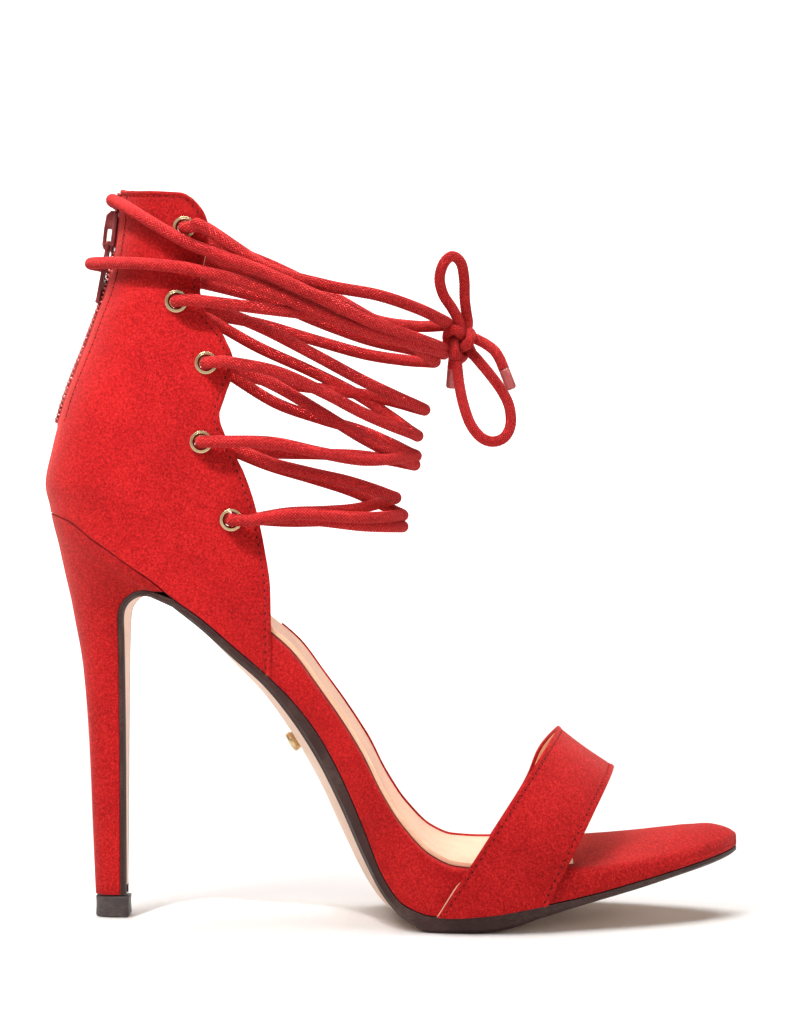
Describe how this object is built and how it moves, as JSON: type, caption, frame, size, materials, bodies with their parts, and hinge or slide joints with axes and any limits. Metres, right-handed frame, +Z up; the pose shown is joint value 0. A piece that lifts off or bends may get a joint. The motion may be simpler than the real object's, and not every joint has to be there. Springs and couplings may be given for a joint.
{
  "type": "lace-up stiletto sandal",
  "caption": "Open-toe stiletto sandal with a closed zip-back cuff laced through eyelets, a slanted toe strap and a covered platform, standing empty on heel tip and ball.",
  "frame": {"origin": "on the floor under the middle of the shoe's box without the bow", "axes": "+X from heel to toe, +Y from the outer to the inner side of the foot, +Z up"},
  "size_m": [0.2072, 0.083, 0.2175],
  "materials": {
    "suede": "matte brushed suede",
    "lace": "round woven cord",
    "lining": "smooth satin",
    "outsole": "satin with a dark painted edge",
    "top_lift": "matte",
    "gold_metal": "polished pale gold",
    "zip_cloth": "woven tape",
    "zip_metal": "dark red lacquer",
    "clear_tip": "clear film"
  },
  "bodies": {
    "shoe": {"outsole": "outsole", "heel": "suede", "top_lift": "top_lift", "footbed": "suede", "insole": "lining", "counter": "suede", "toe_strap": "suede", "zip_tape": "zip_cloth", "zip_slider": "zip_metal", "arch_stud": "gold_metal", "eyelet_outer_1": "gold_metal", "eyelet_outer_2": "gold_metal", "eyelet_outer_3": "gold_metal", "eyelet_outer_4": "gold_metal", "eyelet_outer_5": "gold_metal", "eyelet_inner_1": "gold_metal", "eyelet_inner_2": "gold_metal", "eyelet_inner_3": "gold_metal", "eyelet_inner_4": "gold_metal", "eyelet_inner_5": "gold_metal", "lace_crossing_bottom": "lace", "lace_crossing_lower": "lace", "lace_crossing_upper": "lace", "lace_crossing_top": "lace", "lace_knot": "lace", "lace_loop_upper": "lace", "lace_loop_lower": "lace", "lace_end_outer": "lace", "lace_end_inner": "lace", "aglet_outer": "clear_tip", "aglet_inner": "clear_tip"},
    "pull_tab": {"pull_tab": "zip_metal"}
  },
  "joints": [
    {"name": "pull_tab_hinge", "type": "hinge", "parent": "shoe", "child": "pull_tab", "pos_m": [-0.08489, 0.00101, 0.20172], "axis": [0, 1, 0], "range_deg": [0, 5]}
  ]
}
